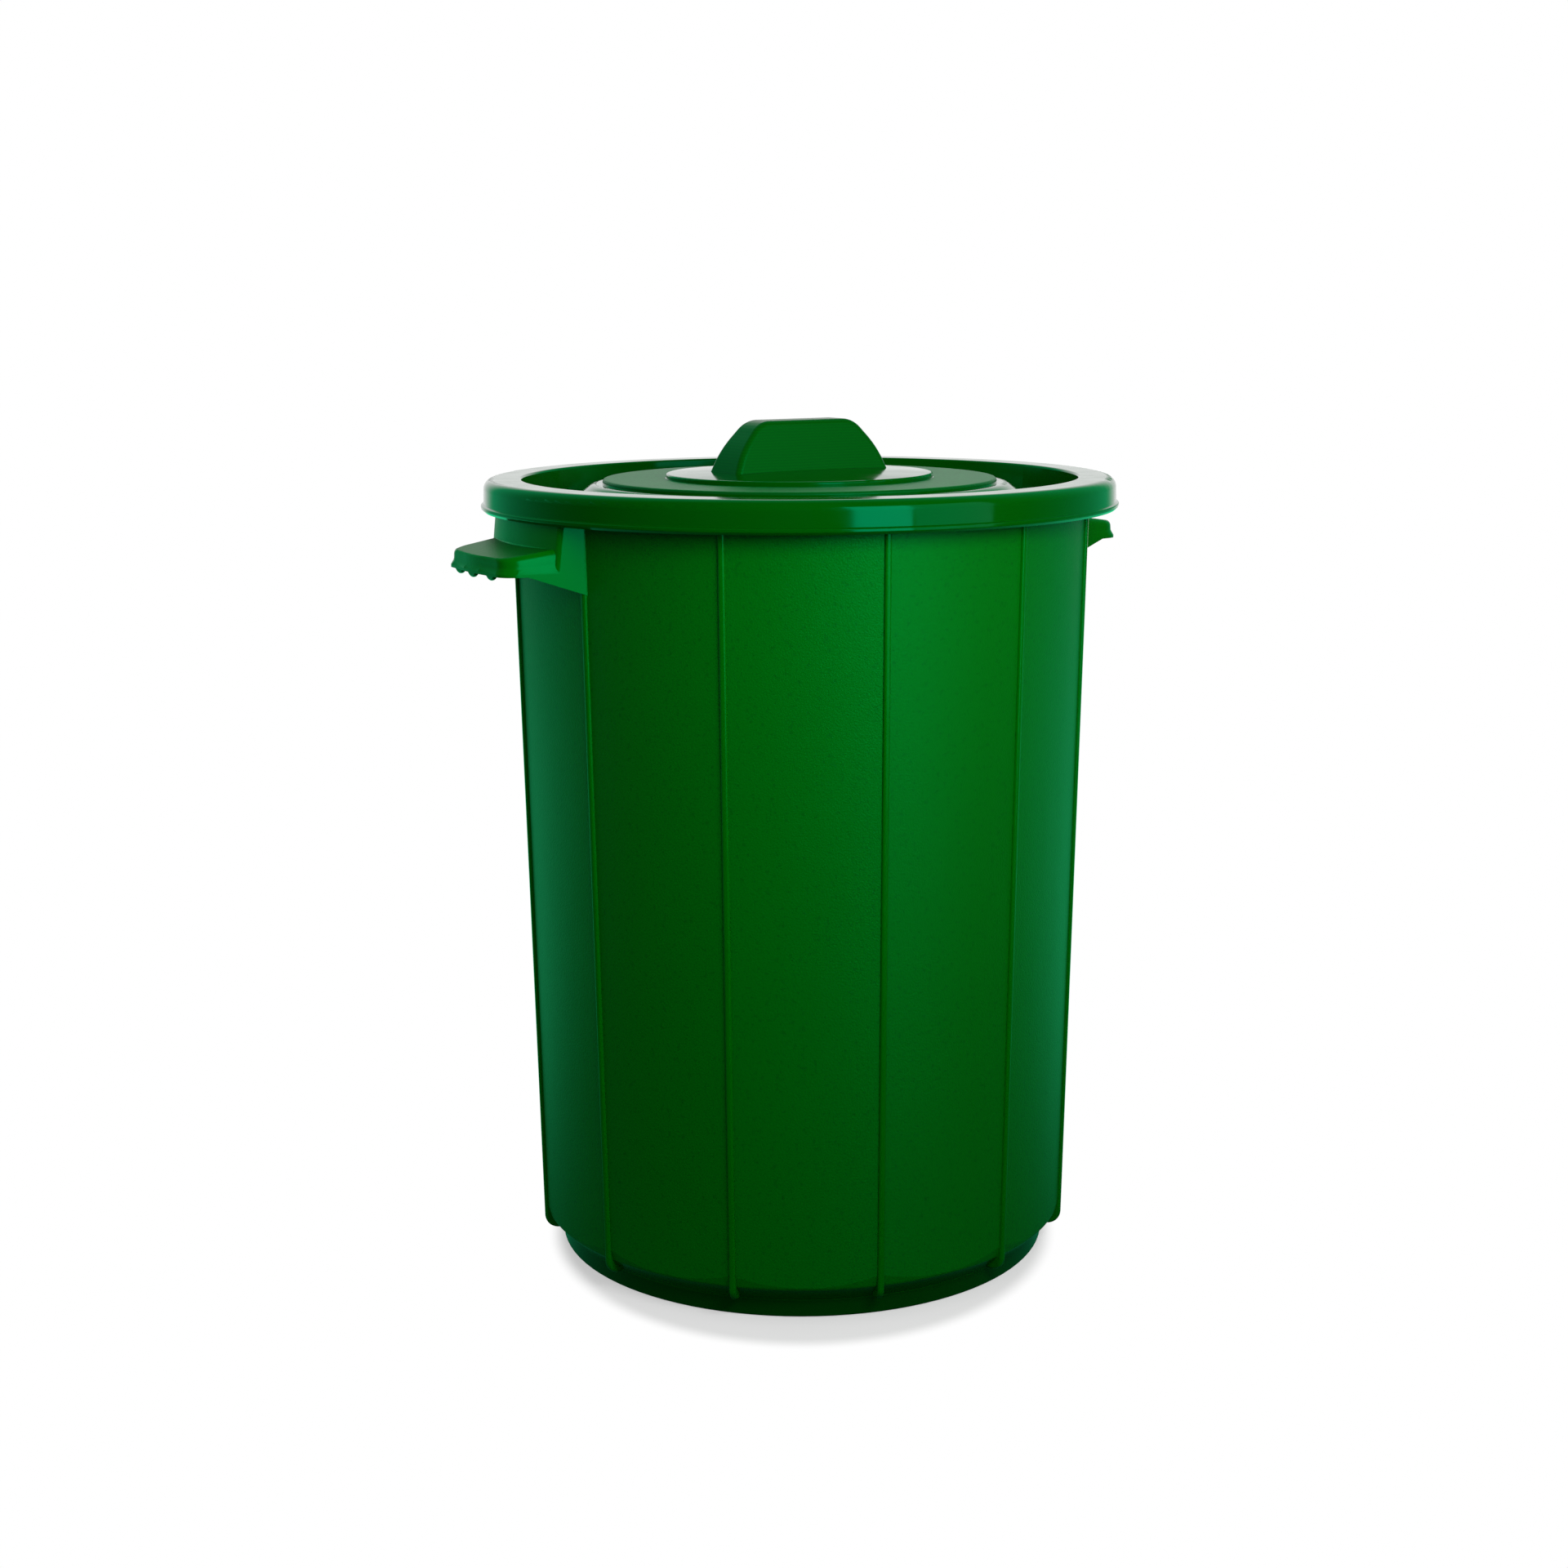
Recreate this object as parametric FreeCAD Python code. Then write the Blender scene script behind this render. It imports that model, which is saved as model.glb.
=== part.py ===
"""Round lidded bin in moulded plastic: a tapered tub with two grab handles, a lift-off lid and its grip.

Millimetres. +Z is up, the origin is the centre of the foot ring's underside, and the two
handles point along +X and -X. The lid's grip runs along X too.
"""
import FreeCAD, Part
import math
import os

from FreeCAD import Rotation, Vector

# Tub: a tapered wall of slightly flattened panels, with a rib over each corner between two panels.
bin_height = 523.3
wall_top_radius = 192.2
wall_taper = 10.4
wall = 2.6
panel_count = 12
panel_flat = 1.3
rib_width = 4.4
rib_height = 1.9
rib_round = 1.7
rib_foot_rise = 1.6
rib_foot_round = 9.5

# Foot: a ring under a sloped chamfer, with the floor set up inside the ring.
foot_inset = 13.3
foot_height = 12.0
foot_wall = 3.0
foot_round = 1.5
chamfer_angle = 44.0
chamfer_round = 4.0
chamfer_lead_angle = 12.0
floor_recess = 9.0
floor = 3.0

# Rim: a flange round the mouth with a lip that turns down.
rim_reach = 13.1
rim_wall = 2.4
rim_drop = 14.0
rim_round = 2.2

# Handles: the lip runs down as a collar, then out as a shelf with a skirt, between two end plates.
# A lobe hangs between each two fingers, and the width follows from the fingers and a margin at each end.
finger_pitch = 24.0
finger_margin = 4.0
handle_taper = 9.5
handle_wall = 3.0
collar_angle = 6.5
collar_round = 4.0
shelf_drop = 32.3
shelf_overhang = 34.0
shelf_fall = 5.0
shelf_bow = 3.2
shelf_corner = 12.0
shelf_bow_round = 150.0
shelf_end_round = 4.0
shelf_front_round = 1.0
shelf_root_round = 3.0
skirt_height = 9.0
lip_reach = 1.7
lip_height = 1.7
gusset_drop = 60.3
gusset_angle = 19.2
lobe_count = 3
lobe_radius = 8.5
lobe_hang = 3.0
lobe_setback = 1.0
lobe_round = 1.3

# Hollow curve of the shelf's skirt, as shares of the lip's reach and of the skirt's height.
cove_shares = ((0.0, 0.0), (0.55, 0.2), (1.0, 0.45))
# Angles at which the rounding of the shelf's top edge is drawn, and the share of height where it starts.
edge_angles = (0, 30, 60, 90)
edge_start_share = 0.58

# Lid: a skirt over the rim, a flat top ring, a well that drops inside the mouth and a raised centre.
lid_wall = 2.4
lid_seat_gap = 0.3
lid_side_gap = 2.3
skirt_drop = 20.3
skirt_draft = 0.5
shoulder_round = 6.5
bead_height = 4.4
bead_reach = 1.7
bead_round = 0.8
top_ring_width = 25.2
top_ring_round = 1.6
well_depth = 23.0
well_draft = 1.5
well_floor_width = 18.0
well_round = 3.0
plateau_radius = 131.3
plateau_drop = 1.3
plateau_step = 3.0
plateau_round = 2.0
crown_width = 6.5
crown_round = 8.0
disc_radius = 89.0
disc_rise = 3.2
disc_round = 1.4
dome_rise = 3.0

# Grip: a hollow block on the lid's dome, held by two snap legs through slots.
# Each end leans in at a steep angle from the foot, bends and leans in further to the shoulder.
grip_length = 117.6
grip_width = 40.0
grip_top_width = 23.2
grip_stand = 32.0
grip_foot_angle = 20.7
grip_end_angle = 41.3
grip_bend_height = 15.6
grip_bend_round = 60.0
grip_shoulder = 17.8
grip_edge_round = 4.1
grip_wall = 2.4
leg_width = 11.0
leg_thickness = 3.0
leg_clearance = 0.3
hook_reach = 1.4
hook_height = 2.4

# Heights and radii that follow from the sizes above.
axis_up = Vector(0, 0, 1)
far = 2 * (bin_height + wall_top_radius)
panel_angle = 360.0 / panel_count
chamfer_slope = math.tan(math.radians(chamfer_angle))
wall_foot_radius = wall_top_radius - wall_taper
foot_radius = wall_foot_radius - foot_inset
rim_radius = wall_top_radius + rim_reach
rim_under = bin_height - rim_wall
rim_low = bin_height - rim_drop
handle_width = finger_pitch * (lobe_count + 1) + 2 * finger_margin
handle_root = math.sqrt(wall_top_radius ** 2 - (handle_width / 2) ** 2)
shelf_reach = rim_radius + shelf_overhang
shelf_height = bin_height - shelf_drop
shelf_slope = shelf_fall / shelf_overhang
lip_top = shelf_height - shelf_fall - skirt_height
gusset_height = bin_height - gusset_drop
lid_under = bin_height + lid_seat_gap
lid_top = lid_under + lid_wall
skirt_inner = rim_radius + lid_side_gap
skirt_radius = skirt_inner + lid_wall
plateau_top = lid_top - plateau_drop
disc_top = plateau_top + disc_rise
dome_top = disc_top + dome_rise
dome_edge = disc_radius - disc_round
dome_radius = (dome_edge ** 2 + dome_rise ** 2) / (2 * dome_rise)
grip_top = dome_top + grip_stand


def rounded_edges(corners, place):
    """Closed run of edges through (a, b, radius) corners, each corner rounded by its own radius."""
    flat = [Vector(a, b, 0) for a, b, radius in corners]
    spans = []
    for index, (a, b, radius) in enumerate(corners):
        here = flat[index]
        back = (flat[index - 1] - here).normalize()
        ahead = (flat[(index + 1) % len(flat)] - here).normalize()
        half = back.getAngle(ahead) / 2
        reach = radius / math.tan(half)
        middle = here + (back + ahead).normalize() * (radius / math.sin(half) - radius)
        spans.append((here + back * reach, middle, here + ahead * reach, radius))
    edges = []
    for index, (start, middle, end, radius) in enumerate(spans):
        if radius > 0:
            edges.append(Part.Arc(place(start), place(middle), place(end)).toShape())
        edges.append(Part.LineSegment(place(end), place(spans[(index + 1) % len(spans)][0])).toShape())
    return edges


def rounded_face(corners, place):
    """Flat face inside rounded corners."""
    return Part.Face(Part.Wire(rounded_edges(corners, place)))


def along_xz(point):
    """Puts a flat point at a distance along X and a height along Z."""
    return Vector(point.x, 0, point.y)


def along_yz(point):
    """Puts a flat point at a distance along Y and a height along Z."""
    return Vector(0, point.x, point.y)


def at_height(z):
    """Gives a function that puts a flat point at height z."""
    return lambda point: Vector(point.x, point.y, z)


def turned(corners):
    """Solid of revolution about the bin's axis from (radius, height, round) corners."""
    return rounded_face(corners, along_xz).revolve(Vector(), axis_up, 360)


def spread(face, direction):
    """Extrudes a face by the whole of a direction, half to each side."""
    return face.extrude(direction).translated(direction * -0.5)


def block(x, y, z):
    """Box between two limits along each axis."""
    return Part.makeBox(x[1] - x[0], y[1] - y[0], z[1] - z[0], Vector(x[0], y[0], z[0]))


def beyond_slope(x, z, rise, end):
    """Large block from a plane through (x, z), which rises by a ratio along +X, up or down to a height."""
    corners = [(-far, z - (far + x) * rise, 0), (far, z + (far - x) * rise, 0), (far, end, 0), (-far, end, 0)]
    return spread(rounded_face(corners, along_xz), Vector(0, 2 * far, 0))


def wall_radius(z):
    """Outer radius of the wall at a corner between panels."""
    return wall_foot_radius + wall_taper * z / bin_height


def panel_wire(inset, z):
    """Ring of shallow arcs, one for each wall panel, moved in by inset."""
    corner = wall_radius(z) - inset
    middle = corner - panel_flat
    edges = []
    for index in range(panel_count):
        angles = [math.radians(panel_angle * (index + step)) for step in (-0.5, 0, 0.5)]
        radii = (corner, middle, corner)
        points = [Vector(r * math.cos(a), r * math.sin(a), z) for r, a in zip(radii, angles)]
        edges.append(Part.Arc(*points).toShape())
    return Part.Wire(edges)


def panel_solid(inset, low, high):
    """Tapered solid inside the panels between two heights."""
    return Part.makeLoft([panel_wire(inset, low), panel_wire(inset, high)], True, True)


def chamfer_corners(inset):
    """Corners of the chamfer and of the steep line that leads from it up past the panels."""
    foot = foot_radius - inset
    corner = wall_radius(foot_height) - panel_flat - inset
    corner_height = foot_height + (corner - foot) * chamfer_slope
    top = corner_height + bin_height
    lead = bin_height * math.tan(math.radians(chamfer_lead_angle))
    return [
        (foot, foot_height, 0), (corner, corner_height, chamfer_round), (corner + lead, top, 0), (0, top, 0)]


def tub():
    """Wall, floor and foot ring, with the rim flange and its lip."""
    floor_top = floor_recess + floor
    foot_shape = turned([(0, 0, 0), (foot_radius, 0, foot_round)] + chamfer_corners(0))
    outside = panel_solid(0, 0, bin_height).common(foot_shape)
    mouth = wall_top_radius - panel_flat - wall
    flange = turned([
        (mouth, rim_under, 0), (rim_radius - rim_wall, rim_under, 0),
        (rim_radius - rim_wall, rim_low, 0), (rim_radius, rim_low, 0),
        (rim_radius, bin_height, rim_round), (mouth, bin_height, 0)])
    inner_shape = turned([(0, 0, 0), (foot_radius - wall, 0, 0)] + chamfer_corners(wall))
    inside = panel_solid(wall, floor_top, bin_height).common(inner_shape)
    recess = Part.makeCylinder(foot_radius - foot_wall, floor_recess)
    return outside.fuse(flange).cut(inside).cut(recess)


def rib(angle, high):
    """Half-round rib at an angle, from a height straight down past the chamfer to a rounded foot."""
    corner = wall_radius(foot_height)
    corner_height = foot_height + (corner - foot_radius) * chamfer_slope
    low = foot_height + rib_foot_rise
    sunk = wall / 2
    corners = [
        (wall_radius(high) + rib_height, high, 0),
        (wall_radius(low) + rib_height, low, rib_foot_round),
        (foot_radius + rib_foot_rise / chamfer_slope - sunk, low, 0),
        (corner - sunk, corner_height, 0),
        (wall_radius(high) - sunk, high, 0)]
    edges = rounded_edges(corners, along_xz)
    crest = edges[:3]
    width = Vector(0, rib_width, 0)
    solid = spread(Part.Face(Part.Wire(edges)), width)
    middles = [edge.CenterOfMass + width * side for edge in crest for side in (-0.5, 0.5)]
    long_edges = [e for e in solid.Edges if any(e.CenterOfMass.distanceToPoint(m) < 1e-3 for m in middles)]
    return solid.makeFillet(rib_round, long_edges).rotated(Vector(), axis_up, angle)


def ribs():
    """A rib on every panel corner; those under a handle stop inside its end plates."""
    found = []
    for index in range(panel_count):
        angle = panel_angle * (index + 0.5)
        aside = wall_top_radius * abs(math.sin(math.radians(angle)))
        under_handle = aside < handle_width / 2 + rib_width / 2
        found.append(rib(angle, gusset_height + handle_wall if under_handle else rim_under))
    return found


def end_plate(x, inset):
    """Half width of the handle at a distance along X: its end plates close in as they go out."""
    return handle_width / 2 - inset - (x - handle_root) * math.tan(math.radians(handle_taper))


def shelf_corners(front_inset, end_inset):
    """Plan of the shelf's edge: straight ends that close in to a bowed front."""
    reach = shelf_reach - front_inset
    tip = reach - shelf_bow
    root_half = end_plate(handle_root, end_inset)
    tip_half = end_plate(tip, end_inset)
    return [
        (handle_root, -root_half, 0), (tip, -tip_half, shelf_corner), (reach, 0, shelf_bow_round),
        (tip, tip_half, shelf_corner), (handle_root, root_half, 0)]


def shelf_section(front_inset, end_inset, share):
    """Outline of the shelf, from level at the lip to the slope of the top, at a share of the height."""
    height = lip_top + (shelf_height - lip_top) * share
    slope = shelf_slope * share

    def place(point):
        return Vector(point.x, point.y, height - (point.x - rim_radius) * slope)

    return Part.Wire(rounded_edges(shelf_corners(front_inset, end_inset), place))


def shelf():
    """Shelf with its hollow-curved skirt, rounded along the top edge, and the lip below."""
    sections = [shelf_section(lip_reach * depth, lip_reach * depth, share) for depth, share in cove_shares]
    for angle in edge_angles:
        inward = 1 - math.cos(math.radians(angle))
        share = edge_start_share + (1 - edge_start_share) * math.sin(math.radians(angle))
        front_inset = lip_reach + shelf_front_round * inward ** 2
        sections.append(shelf_section(front_inset, lip_reach + shelf_end_round * inward, share))
    lip = Part.Face(shelf_section(0, 0, 0)).extrude(Vector(0, 0, -lip_top))
    return Part.makeLoft(sections, True).fuse(lip)


def between_plates(inset):
    """Tall wedge between the handle's end plates, moved in by inset."""
    beyond = handle_root + handle_width
    corners = [(x, side * end_plate(x, inset), 0) for x, side in ((0, -1), (beyond, -1), (beyond, 1), (0, 1))]
    return rounded_face(corners, at_height(0)).extrude(axis_up * bin_height)


def collar_radius(z):
    """Outer radius of the drafted collar, which meets the rim's lip at its lower edge."""
    return rim_radius + (rim_low - z) * math.tan(math.radians(collar_angle))


def collar(inset):
    """Collar under the rim's lip, filled to the axis, moved in by a wall thickness."""
    cone = Part.makeCone(collar_radius(0) - inset, collar_radius(rim_under) - inset, rim_under)
    return cone.rotated(Vector(), axis_up, 180).common(between_plates(inset))


def collar_foot():
    """Hollow-curved foot of the collar on the shelf, up to the shelf's rounded ends."""
    radius = collar_radius(shelf_height)
    height = shelf_height - (radius - rim_radius) * shelf_slope
    reach = 2 * shelf_root_round
    sink = shelf_root_round / 3
    ring = turned([
        (collar_radius(height + reach) - sink, height + reach, 0), (radius, height, shelf_root_round),
        (radius + reach, height - reach * shelf_slope - sink, 0), (radius - sink, height - sink, 0)])
    return ring.common(between_plates(lip_reach + shelf_end_round))


def lobes():
    """Row of rounded lobes that hang from the front lip between the fingers."""
    bottom = lip_top - lip_height - lobe_hang
    front_slope = shelf_bow / end_plate(shelf_reach, 0)
    found = []
    for index in range(lobe_count):
        y = finger_pitch * (index - (lobe_count - 1) / 2)
        x = shelf_reach - lobe_setback - front_slope * abs(y)
        centre = Vector(x - handle_wall, y, bottom + lobe_radius)
        lobe = Part.makeCylinder(lobe_radius, handle_wall, centre, Vector(1, 0, 0))
        rims = [edge for edge in lobe.Edges if edge.Closed]
        found.append(lobe.makeFillet(lobe_round, rims).common(block((0, far), (-far, far), (0, lip_top))))
    return found


def handle():
    """Handle on the +X side: collar, shelf with its skirt and lip, end plates and finger lobes."""
    outer = collar(0)
    upright = [edge for edge in outer.Edges if edge.BoundBox.ZLength > bin_height / 2]
    corners = [edge for edge in upright if edge.CenterOfMass.x > handle_root]
    outer = outer.makeFillet(collar_round, corners).fuse([shelf(), collar_foot()])
    thickness = handle_wall + lip_reach
    hollow = Part.Face(shelf_section(thickness, thickness, 0)).extrude(Vector(0, 0, bin_height))
    hollow = hollow.translated(Vector(0, 0, -lip_top))
    hollow = hollow.cut(beyond_slope(rim_radius, shelf_height - handle_wall, -shelf_slope, far))
    below = beyond_slope(handle_root, gusset_height, math.tan(math.radians(gusset_angle)), -far)
    below = below.common(block((-far, far), (-far, far), (-far, lip_top - lip_height)))
    shell = outer.cut(collar(handle_wall)).cut(hollow).cut(below).cut(panel_solid(wall / 2, 0, bin_height))
    return shell.fuse(lobes())


def bin_body():
    """The tub with its ribs and both handles, moulded in one."""
    right = handle()
    left = right.rotated(Vector(), axis_up, 180)
    return tub().fuse([right, left] + ribs()).removeSplitter()


def dome(thickness):
    """Shallow cap over the lid's disc, moved in by a thickness."""
    centre = Vector(0, 0, dome_top - dome_radius)
    ball = Part.makeSphere(dome_radius - thickness, centre)
    base = disc_top - thickness - dome_rise
    return ball.common(Part.makeCylinder(dome_edge - thickness, far, Vector(0, 0, base)))


def lid():
    """Lid in one moulding, with slots in its dome for the grip's legs."""
    skirt_low = lid_top - skirt_drop
    bead_top = skirt_low + bead_height
    bead_radius = skirt_radius + bead_reach
    ring_inner = skirt_radius - top_ring_width
    well_floor = lid_top - well_depth
    well_outer = ring_inner - well_draft
    cone_foot = well_outer - well_floor_width
    cone_top = plateau_top - plateau_step
    crown_radius = plateau_radius + crown_width
    slope = (cone_top - well_floor) / (cone_foot - crown_radius)
    cone_depth = lid_wall * math.sqrt(1 + slope ** 2)
    crown_under = crown_radius - (cone_depth - lid_wall) / slope
    cone_under_foot = crown_radius + (cone_top - cone_depth - well_floor + lid_wall) / slope
    shell = turned([
        (0, disc_top, 0), (disc_radius, disc_top, disc_round), (disc_radius, plateau_top, 0),
        (plateau_radius, plateau_top, plateau_round), (plateau_radius, cone_top, 0),
        (crown_radius, cone_top, crown_round), (cone_foot, well_floor, well_round),
        (well_outer, well_floor, well_round), (ring_inner, lid_top, top_ring_round),
        (skirt_radius - skirt_draft, lid_top, shoulder_round),
        (skirt_radius, bead_top, 0), (bead_radius, bead_top - bead_reach / 2, bead_round),
        (bead_radius, skirt_low + bead_reach, bead_round), (skirt_radius, skirt_low, 0),
        (skirt_inner, skirt_low, 0), (skirt_inner - skirt_draft, lid_under, shoulder_round - lid_wall),
        (ring_inner + lid_wall, lid_under, 0), (well_outer + lid_wall, well_floor - lid_wall, well_round),
        (cone_under_foot, well_floor - lid_wall, well_round),
        (crown_under, cone_top - lid_wall, crown_round - lid_wall),
        (plateau_radius - lid_wall, cone_top - lid_wall, 0),
        (plateau_radius - lid_wall, plateau_top - lid_wall, 0),
        (disc_radius - lid_wall, plateau_top - lid_wall, 0),
        (disc_radius - lid_wall, disc_top - lid_wall, 0), (0, disc_top - lid_wall, 0)])
    shell = shell.fuse(dome(0)).cut(dome(lid_wall))
    room_x = leg_thickness / 2 + leg_clearance
    room_y = leg_width / 2 + leg_clearance
    for x in (-leg_place(), leg_place()):
        shell = shell.cut(block((x - room_x, x + room_x), (-room_y, room_y), (disc_top - lid_wall, far)))
    return shell.removeSplitter()


def grip_half_top():
    """Half length of the grip's top, out to where its end slopes would meet it."""
    foot_lean = grip_bend_height * math.tan(math.radians(grip_foot_angle))
    upper = grip_top - disc_top - grip_bend_height
    return grip_length / 2 - foot_lean - upper * math.tan(math.radians(grip_end_angle))


def leg_place():
    """Distance of a snap leg along X, under the end of the grip's flat top."""
    shoulder_start = grip_half_top() - grip_shoulder * math.tan(math.radians(90 - grip_end_angle) / 2)
    return shoulder_start - leg_thickness / 2


def moved_in(x, z, low_angle, high_angle, inset):
    """Corner between two faces that lean in at the given angles, when both move in by a thickness."""
    middle = math.radians(low_angle + high_angle) / 2
    reach = inset / math.cos(math.radians(high_angle - low_angle) / 2)
    return x - reach * math.cos(middle), z - reach * math.sin(middle)


def grip_block(inset):
    """Tapered block of the grip, moved in by a wall thickness."""
    half = grip_length / 2
    bend = half - grip_bend_height * math.tan(math.radians(grip_foot_angle))
    ends = [
        (*moved_in(half, disc_top, grip_foot_angle, grip_foot_angle, inset), 0),
        (*moved_in(bend, disc_top + grip_bend_height, grip_foot_angle, grip_end_angle, inset),
         grip_bend_round - inset),
        (*moved_in(grip_half_top(), grip_top, grip_end_angle, 90, inset), grip_shoulder - inset)]
    profile = ends + [(-x, z, radius) for x, z, radius in reversed(ends)]
    wide = grip_width / 2 - inset
    wide_top = grip_top_width / 2 - inset
    low = disc_top - inset
    top = grip_top - inset
    section = [(-wide, low, 0), (wide, low, 0), (wide_top, top, 0), (-wide_top, top, 0)]
    side_on = spread(rounded_face(profile, along_xz), Vector(0, 2 * grip_width, 0))
    end_on = spread(rounded_face(section, along_yz), Vector(2 * grip_length, 0, 0))
    return side_on.common(end_on)


def snap_leg():
    """Leg at +X, from the grip's roof through the lid to a hook under it."""
    face = leg_place() + leg_thickness / 2
    under = dome_top - lid_wall - (face + hook_reach) ** 2 / (2 * dome_radius) - leg_clearance
    tip = under - hook_height
    roof = grip_top - grip_wall / 2
    leg = block((face - leg_thickness, face), (-leg_width / 2, leg_width / 2), (tip, roof))
    hook = rounded_face([(face, under, 0), (face + hook_reach, under, 0), (face, tip, 0)], along_xz)
    return leg.fuse(spread(hook, Vector(0, leg_width, 0)))


def lid_grip():
    """Hollow grip that stands on the dome, with a snap leg towards each end."""
    outer = grip_block(0)
    raised = [edge for edge in outer.Edges if edge.BoundBox.ZMax > disc_top + grip_wall]
    long_edges = [edge for edge in raised if abs(edge.CenterOfMass.y) > grip_wall]
    shell = outer.makeFillet(grip_edge_round, long_edges).cut(grip_block(grip_wall)).cut(dome(0))
    leg = snap_leg()
    return shell.fuse([leg, leg.rotated(Vector(), axis_up, 180)]).removeSplitter()


os.makedirs("parts", exist_ok=True)
for name, make in {"bin_body": bin_body, "lid": lid, "lid_grip": lid_grip}.items():
    make().exportStep("parts/" + name + ".step")
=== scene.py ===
"""Looks of the lidded dustbin: one green plastic in several finishes, on a plain white floor. Metres."""

import math

import bpy
from mathutils import Matrix, Vector

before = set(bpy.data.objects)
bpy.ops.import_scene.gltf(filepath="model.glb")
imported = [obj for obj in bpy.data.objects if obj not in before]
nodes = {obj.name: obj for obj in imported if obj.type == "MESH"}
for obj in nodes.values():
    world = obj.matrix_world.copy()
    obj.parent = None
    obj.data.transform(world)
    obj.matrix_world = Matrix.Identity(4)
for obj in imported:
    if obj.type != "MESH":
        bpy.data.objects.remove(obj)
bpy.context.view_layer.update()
scene = bpy.context.scene

# Sizes of the bin that the finishes are placed by.
bin_height = 0.5233
wall_foot_radius = 0.1818
wall_taper = 0.0104
rim_radius = 0.2053
plateau_radius = 0.1313
disc_radius = 0.0890
plateau_under = 0.5222
foot_height = 0.0120

# Camera as fitted to the photo: where it stands, its turn about the vertical, tilt, roll, lens and sensor,
# and the level direction from the bin towards it.
camera_place = (-0.8149, -1.3611, 0.6384)
camera_turn = -30.50
camera_tilt = 78.49
camera_roll = -0.28
camera_lens = 54.21
camera_sensor = 36.0
view_side = Vector((-0.5128, -0.8585, 0.0))

# Colours: the plastic's green where it is grained, in the grain's flecks, on the lid's plateau and in
# the plateau's pits, painted paler as a painted sheen, where it is polished, in the grip's mould lines, on the
# foot ring, painted dark as painted shade, and the dim surroundings that it mirrors.
grained_green = (0.0003, 0.110, 0.0008, 1.0)
fleck_green = (0.0003, 0.080, 0.0008, 1.0)
plateau_sheen_green = (0.0003, 0.165, 0.020, 1.0)
pit_sheen_green = (0.0003, 0.115, 0.010, 1.0)
polished_green = (0.0003, 0.062, 0.0008, 1.0)
line_green = (0.0003, 0.072, 0.0008, 1.0)
foot_shade_green = (0.0003, 0.036, 0.0008, 1.0)
surroundings = (0.015, 0.33, 0.15)
white = (1.0, 1.0, 1.0)
floor_matt = (0.03, 0.03, 0.03, 1.0)
floor_pale = (0.45, 0.45, 0.45, 1.0)

# Roughness of the finishes.
bin_smooth, bin_grained = 0.22, 0.42
lid_smudges = (0.08, 0.13)
lid_grained = 0.46
grip_satin = 0.30

# Grains, waves, smudges and drifts to a metre, and the pitch and drift of the grip's mould lines.
fleck_scale = 350.0
panel_scale = 900.0
shelf_scale = 420.0
plateau_scale, plateau_detail = 420.0, 3.0
bin_wave_scale = 40.0
lid_wave_scale = 26.0
smudge_scale = 55.0
drift_scale = 30.0
line_pitch = 0.0018
line_drift = 2.5

# Depth and strength of the relief.
wave_depth, wave_strength = 0.0012, 0.25
grain_depth = 0.0003
bin_grain_strength, lid_grain_strength = 0.60, 0.75
line_depth, line_strength = 0.0001, 0.10

# Floor: half its side, its level just under the foot, its own glow near the bin, and how the contact shadow
# is drawn out towards the camera and where it ends.
floor_half = 3.0
floor_level = -0.0004
floor_glow = 0.45
shadow_draw = 0.31
shadow_inner, shadow_outer = 0.165, 0.180


def add_node(tree, kind, inputs=(), **settings):
    """Adds a shader node, and fills its sockets with values or links."""
    node = tree.nodes.new(kind)
    for name, value in settings.items():
        setattr(node, name, value)
    for key, value in dict(inputs).items():
        if isinstance(value, bpy.types.NodeSocket):
            tree.links.new(value, node.inputs[key])
        else:
            node.inputs[key].default_value = value
    return node


def calc(tree, operation, *values):
    """Result of a math node on numbers or sockets."""
    return add_node(tree, "ShaderNodeMath", enumerate(values), operation=operation).outputs[0]


def ramp(tree, value, low, high, start=0.0, end=1.0):
    """Goes smoothly from start to end as a value goes from low to high."""
    inputs = {"Value": value, "From Min": low, "From Max": high, "To Min": start, "To Max": end}
    return add_node(tree, "ShaderNodeMapRange", inputs, interpolation_type="SMOOTHSTEP").outputs["Result"]


def between(tree, value, low, high, soft):
    """One where a value lies between two limits, with soft edges."""
    rise = ramp(tree, value, low - soft, low)
    fall = ramp(tree, value, high, high + soft, 1.0, 0.0)
    return calc(tree, "MULTIPLY", rise, fall)


class Place:
    """Where a point of a node lies: its coordinates, distance from the axis and facing, as sockets."""

    def __init__(self, tree):
        coords = add_node(tree, "ShaderNodeTexCoord")
        self.point = coords.outputs["Object"]
        split = add_node(tree, "ShaderNodeSeparateXYZ", {0: self.point})
        self.x, self.y, self.z = split.outputs
        flat = add_node(tree, "ShaderNodeCombineXYZ", {0: self.x, 1: self.y})
        length = add_node(tree, "ShaderNodeVectorMath", {0: flat.outputs[0]}, operation="LENGTH")
        self.radius = length.outputs["Value"]
        self.up = add_node(tree, "ShaderNodeSeparateXYZ", {0: coords.outputs["Normal"]}).outputs["Z"]


def noise(tree, point, scale, detail=2.0):
    """Even noise with so many grains to a metre."""
    inputs = {"Vector": point, "Scale": scale, "Detail": detail}
    return add_node(tree, "ShaderNodeTexNoise", inputs).outputs["Fac"]


def relief(tree, height, strength, depth, under=None):
    """Normal of a surface with a relief of a depth, on top of another relief if one is given."""
    inputs = {"Height": height, "Strength": strength, "Distance": depth}
    if under is not None:
        inputs["Normal"] = under
    return add_node(tree, "ShaderNodeBump", inputs).outputs[0]


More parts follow.
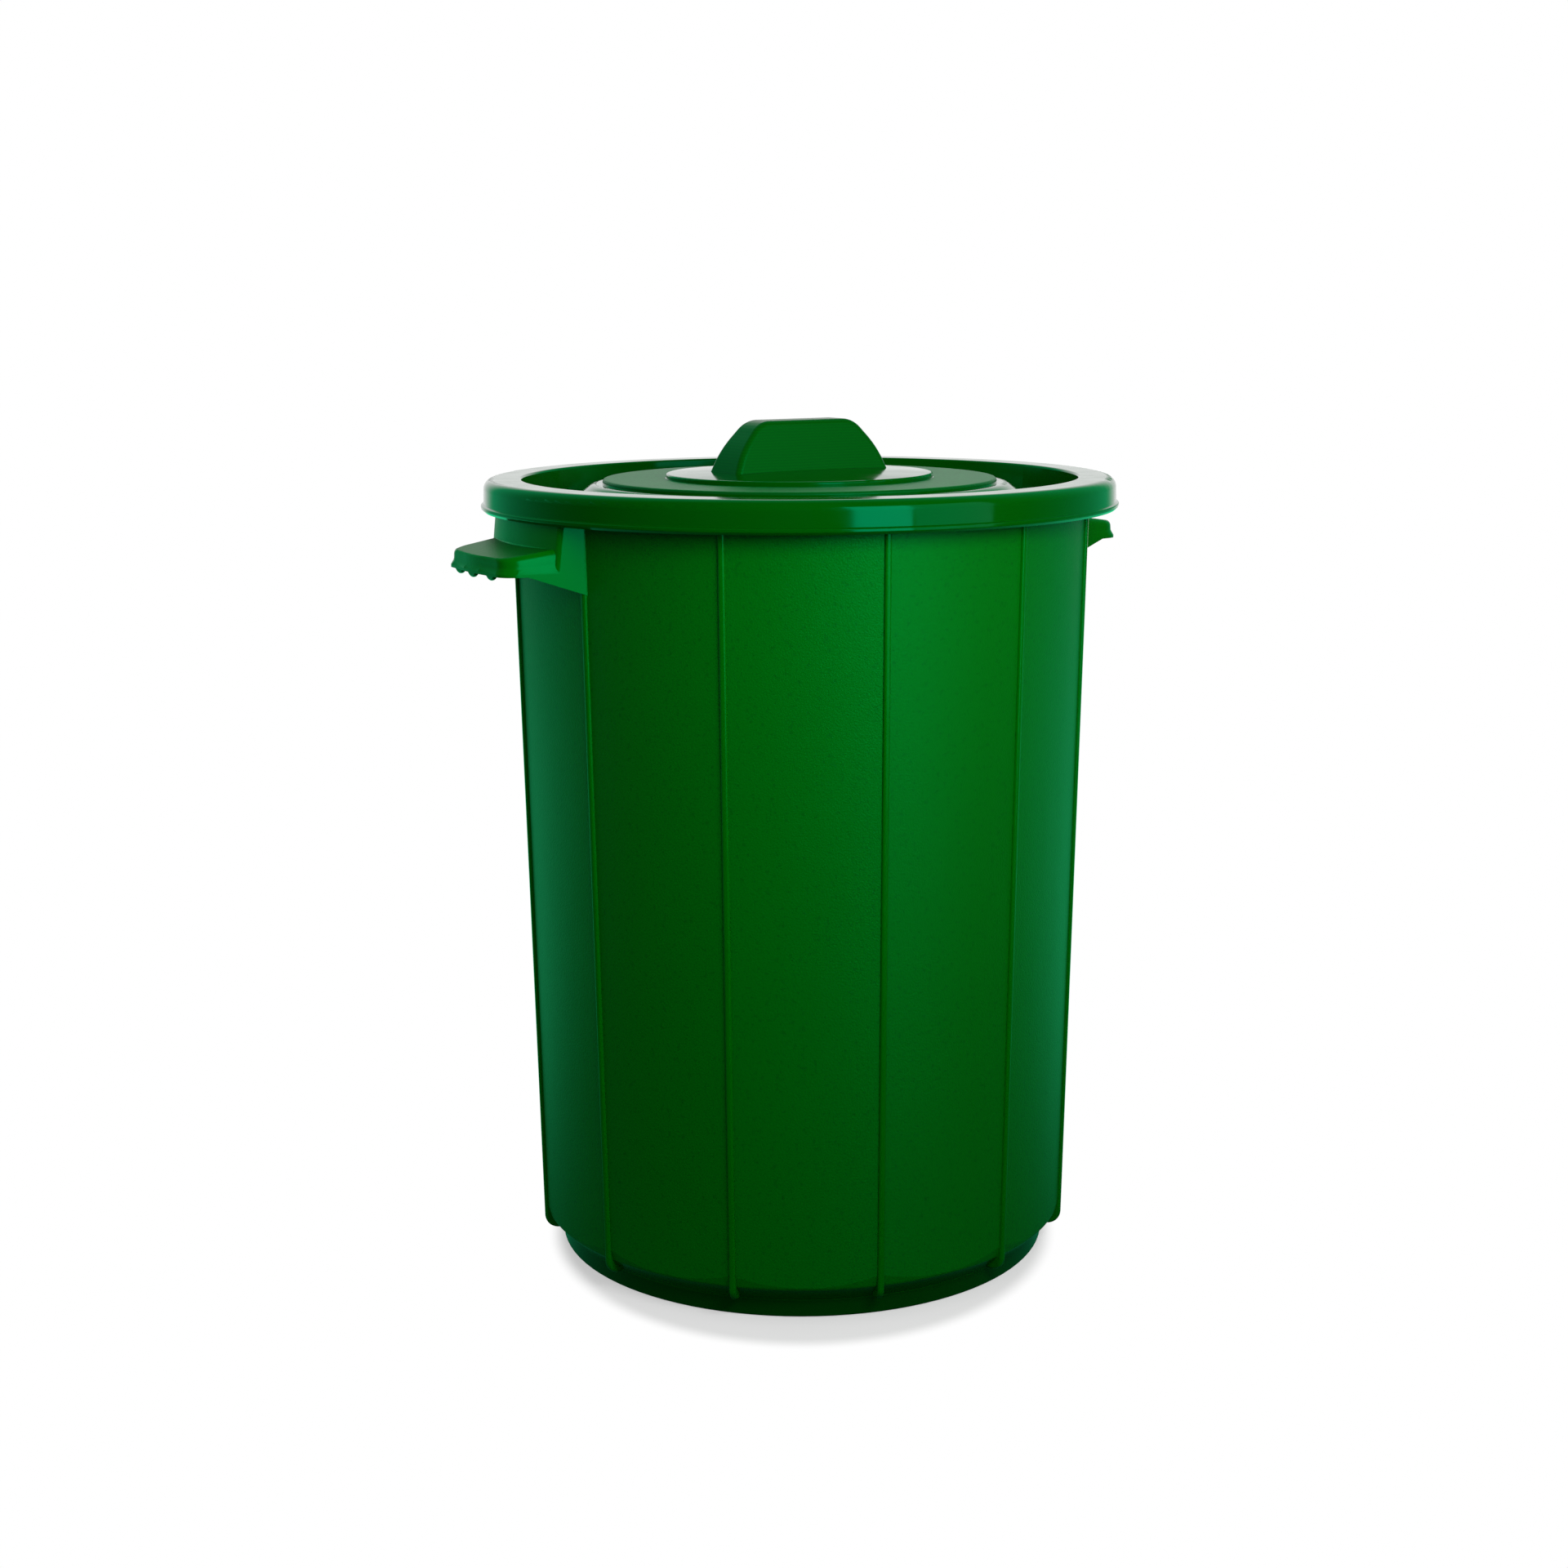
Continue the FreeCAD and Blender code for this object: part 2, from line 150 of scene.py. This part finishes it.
def new_plastic(name, shine, shine_blue):
    """A green plastic with a green to blue-green mirror tint: its shader tree, main shader and place."""
    material = bpy.data.materials.new(name)
    material.use_nodes = True
    tree = material.node_tree
    shader = tree.nodes["Principled BSDF"]
    shader.inputs["Specular IOR Level"].default_value = shine
    shader.inputs["Specular Tint"].default_value = (0.0, 1.0, shine_blue, 1.0)
    return material, tree, shader, Place(tree)


def blend(tree, share, first, second):
    """First colour at share 0, second at share 1."""
    return add_node(tree, "ShaderNodeMix", {0: share, 6: first, 7: second}, data_type="RGBA").outputs[2]


def join(tree, shader, key, value):
    """Links a socket to one of the main shader's inputs."""
    tree.links.new(value, shader.inputs[key])


def bin_plastic():
    """Tub: grained panels and shelf tops, smoother ribs, rim, collars and end plates, and a foot ring painted
    dark as painted shade.
    """
    material, tree, shader, place = new_plastic("bin green", shine=0.38, shine_blue=0.38)
    wall = calc(tree, "MULTIPLY_ADD", place.z, wall_taper / bin_height, wall_foot_radius)
    stand = calc(tree, "SUBTRACT", place.radius, wall)
    panel = between(tree, stand, low=-0.0018, high=0.0003, soft=0.0004)
    past_rim = ramp(tree, place.radius, rim_radius, rim_radius + 0.003)
    shelf_top = calc(tree, "MULTIPLY", past_rim, ramp(tree, place.up, 0.75, 0.9))
    grained = calc(tree, "MAXIMUM", panel, shelf_top)
    join(tree, shader, "Roughness", ramp(tree, grained, 0.0, 1.0, bin_smooth, bin_grained))
    # Below the foot height the green is painted darker: painted shade on the foot ring.
    above_foot = ramp(tree, place.z, foot_height - 0.001, foot_height + 0.001)
    flecks = ramp(tree, noise(tree, place.point, fleck_scale), 0.55, 0.75, 0.0, 0.7)
    flecked = blend(tree, calc(tree, "MULTIPLY", grained, flecks), grained_green, fleck_green)
    join(tree, shader, "Base Color", blend(tree, above_foot, foot_shade_green, flecked))
    fine = calc(tree, "MULTIPLY", noise(tree, place.point, panel_scale), panel)
    coarse = calc(tree, "MULTIPLY", noise(tree, place.point, shelf_scale), shelf_top)
    smooth = calc(tree, "SUBTRACT", 1.0, grained)
    wave = calc(tree, "MULTIPLY", noise(tree, place.point, bin_wave_scale, detail=0.0), smooth)
    sway = relief(tree, wave, wave_strength, wave_depth)
    grain = calc(tree, "ADD", fine, coarse)
    join(tree, shader, "Normal", relief(tree, grain, bin_grain_strength, grain_depth, under=sway))
    return material


def lid_plastic():
    """Lid: polished, apart from the grained plateau round the disc, whose top face is painted paler as a
    painted sheen.
    """
    material, tree, shader, place = new_plastic("lid green", shine=0.5, shine_blue=0.55)
    ring = between(tree, place.radius, disc_radius + 0.0006, plateau_radius, soft=0.0004)
    plateau = calc(tree, "MULTIPLY", ring, ramp(tree, place.z, plateau_under, plateau_under + 0.001))
    pits = noise(tree, place.point, plateau_scale, plateau_detail)
    # The plateau's top face and its pits are painted paler than the polished lid: a painted sheen.
    pitted_sheen = blend(tree, ramp(tree, pits, 0.35, 0.65), plateau_sheen_green, pit_sheen_green)
    face = calc(tree, "MULTIPLY", plateau, ramp(tree, place.up, 0.80, 0.98))
    join(tree, shader, "Base Color", blend(tree, face, polished_green, pitted_sheen))
    smudged = ramp(tree, noise(tree, place.point, smudge_scale), 0.35, 0.65, *lid_smudges)
    join(tree, shader, "Roughness", ramp(tree, plateau, 0.0, 1.0, smudged, lid_grained))
    wave = noise(tree, place.point, lid_wave_scale, detail=0.0)
    sway = relief(tree, wave, wave_strength, wave_depth)
    grain = calc(tree, "MULTIPLY", pits, plateau)
    join(tree, shader, "Normal", relief(tree, grain, lid_grain_strength, grain_depth, under=sway))
    return material


def grip_plastic():
    """Grip: satin, with faint level lines left by the mould."""
    material, tree, shader, place = new_plastic("grip green", shine=0.2, shine_blue=0.4)
    shader.inputs["Roughness"].default_value = grip_satin
    drift = calc(tree, "MULTIPLY", noise(tree, place.point, drift_scale), line_drift)
    lines = calc(tree, "SINE", calc(tree, "MULTIPLY_ADD", place.z, 2 * math.pi / line_pitch, drift))
    join(tree, shader, "Base Color", blend(tree, ramp(tree, lines, -1.0, 1.0), polished_green, line_green))
    join(tree, shader, "Normal", relief(tree, lines, line_strength, line_depth))
    return material


def dot(tree, vector, way):
    """How far a vector socket points along a fixed direction."""
    node = add_node(tree, "ShaderNodeVectorMath", {0: vector, 1: way}, operation="DOT_PRODUCT")
    return node.outputs["Value"]


def glow(tree, color, strength):
    """Plain emission."""
    return add_node(tree, "ShaderNodeEmission", {"Color": (*color, 1.0), "Strength": strength}).outputs[0]


def backlight(tree, color, strength):
    """Light of the world in one colour."""
    return add_node(tree, "ShaderNodeBackground", {"Color": (*color, 1.0), "Strength": strength}).outputs[0]


def matt(tree, color):
    """Plain matt surface."""
    return add_node(tree, "ShaderNodeBsdfDiffuse", {"Color": color}).outputs[0]


def mixed(tree, share, first, second):
    """First shader at share 0, second at share 1."""
    return add_node(tree, "ShaderNodeMixShader", {0: share, 1: first, 2: second}).outputs[0]


def floor_white():
    """White floor: it shows the shadow near the bin, is plain white farther off and dim in reflections."""
    material = bpy.data.materials.new("floor white")
    material.use_nodes = True
    tree = material.node_tree
    tree.nodes.clear()
    place = Place(tree)
    path = add_node(tree, "ShaderNodeLightPath")
    near = add_node(tree, "ShaderNodeAddShader", {0: matt(tree, floor_pale), 1: glow(tree, white, floor_glow)})
    along = dot(tree, place.point, view_side)
    drawn = calc(tree, "MULTIPLY", calc(tree, "MULTIPLY", along, along), -shadow_draw)
    oval = calc(tree, "SQRT", calc(tree, "MULTIPLY_ADD", place.radius, place.radius, drawn))
    far = ramp(tree, oval, shadow_inner, shadow_outer)
    seen = mixed(tree, far, near.outputs[0], glow(tree, white, 1.0))
    mirrored = glow(tree, surroundings, ramp(tree, along, -0.60, 0.30, 3.2, 0.0))
    unseen = mixed(tree, path.outputs["Is Glossy Ray"], matt(tree, floor_matt), mirrored)
    both = mixed(tree, path.outputs["Is Camera Ray"], unseen, seen)
    add_node(tree, "ShaderNodeOutputMaterial", {"Surface": both})
    return material


def studio_world():
    """White to the eye and soft white light; in reflections, white behind the bin and dim elsewhere."""
    world = bpy.data.worlds.new("studio")
    world.use_nodes = True
    tree = world.node_tree
    tree.nodes.clear()
    path = add_node(tree, "ShaderNodeLightPath")
    coords = add_node(tree, "ShaderNodeTexCoord")
    facing = dot(tree, coords.outputs["Generated"], view_side)
    backdrop = ramp(tree, facing, -0.97, -0.80, 1.0, 0.0)
    dim = backlight(tree, surroundings, ramp(tree, facing, -0.85, 0.25, 2.0, 0.0))
    bright = backlight(tree, white, 1.0)
    soft = backlight(tree, white, 0.55)
    mirrored = mixed(tree, backdrop, dim, bright)
    unseen = mixed(tree, path.outputs["Is Glossy Ray"], soft, mirrored)
    both = mixed(tree, path.outputs["Is Camera Ray"], unseen, bright)
    add_node(tree, "ShaderNodeOutputWorld", {"Surface": both})
    return world


def softbox(name, azimuth, distance, height, size, power, aim, mirrored):
    """Flat lamp at an azimuth that looks at a point on the bin's axis.

    It is either only mirrored in the plastic or only lights it.
    """
    lamp = bpy.data.lights.new(name, "AREA")
    lamp.shape = "RECTANGLE"
    lamp.size, lamp.size_y = size
    lamp.energy = power
    turn = math.radians(azimuth)
    place = Vector((math.sin(turn) * distance, -math.cos(turn) * distance, height))
    obj = bpy.data.objects.new(name, lamp)
    obj.location = place
    obj.visible_glossy = mirrored
    obj.visible_diffuse = not mirrored
    obj.rotation_mode = "QUATERNION"
    obj.rotation_quaternion = (Vector((0.0, 0.0, aim)) - place).to_track_quat("-Z", "Y")
    scene.collection.objects.link(obj)


def add_floor():
    """Large flat floor just under the foot ring."""
    signs = ((-1, -1), (1, -1), (1, 1), (-1, 1))
    corners = [(x * floor_half, y * floor_half, floor_level) for x, y in signs]
    mesh = bpy.data.meshes.new("floor")
    mesh.from_pydata(corners, [], [(0, 1, 2, 3)])
    mesh.materials.append(floor_white())
    floor = bpy.data.objects.new("floor", mesh)
    scene.collection.objects.link(floor)


def add_camera():
    """Camera of the photo."""
    data = bpy.data.cameras.new("camera")
    data.lens = camera_lens
    data.sensor_width = camera_sensor
    camera = bpy.data.objects.new("camera", data)
    turn = Matrix.Rotation(math.radians(camera_turn), 4, "Z")
    tilt = Matrix.Rotation(math.radians(camera_tilt), 4, "X")
    roll = Matrix.Rotation(math.radians(camera_roll), 4, "Z")
    camera.matrix_world = Matrix.Translation(camera_place) @ turn @ tilt @ roll
    scene.collection.objects.link(camera)
    scene.camera = camera


for node, make in {"bin_body": bin_plastic, "lid": lid_plastic, "lid_grip": grip_plastic}.items():
    made = make()
    for index in range(len(nodes[node].material_slots)):
        nodes[node].material_slots[index].material = made

add_floor()
add_camera()
scene.world = studio_world()
softbox("key", azimuth=-6.0, distance=0.90, height=0.80, size=(0.5, 0.5), power=9.5, aim=1.10, mirrored=False)
softbox("back", azimuth=149.0, distance=1.6, height=0.70, size=(1.4, 0.9), power=9.0, aim=0.40, mirrored=False)
softbox("side", azimuth=22.0, distance=1.7, height=0.95, size=(0.95, 1.4), power=4.0, aim=0.50, mirrored=True)
softbox("strip", azimuth=-3.6, distance=1.6, height=0.90, size=(0.58, 1.3), power=8.0, aim=0.50, mirrored=True)
softbox("low", azimuth=12.0, distance=1.6, height=0.19, size=(0.55, 0.28), power=1.45, aim=0.19, mirrored=True)
scene.view_settings.view_transform = "Standard"
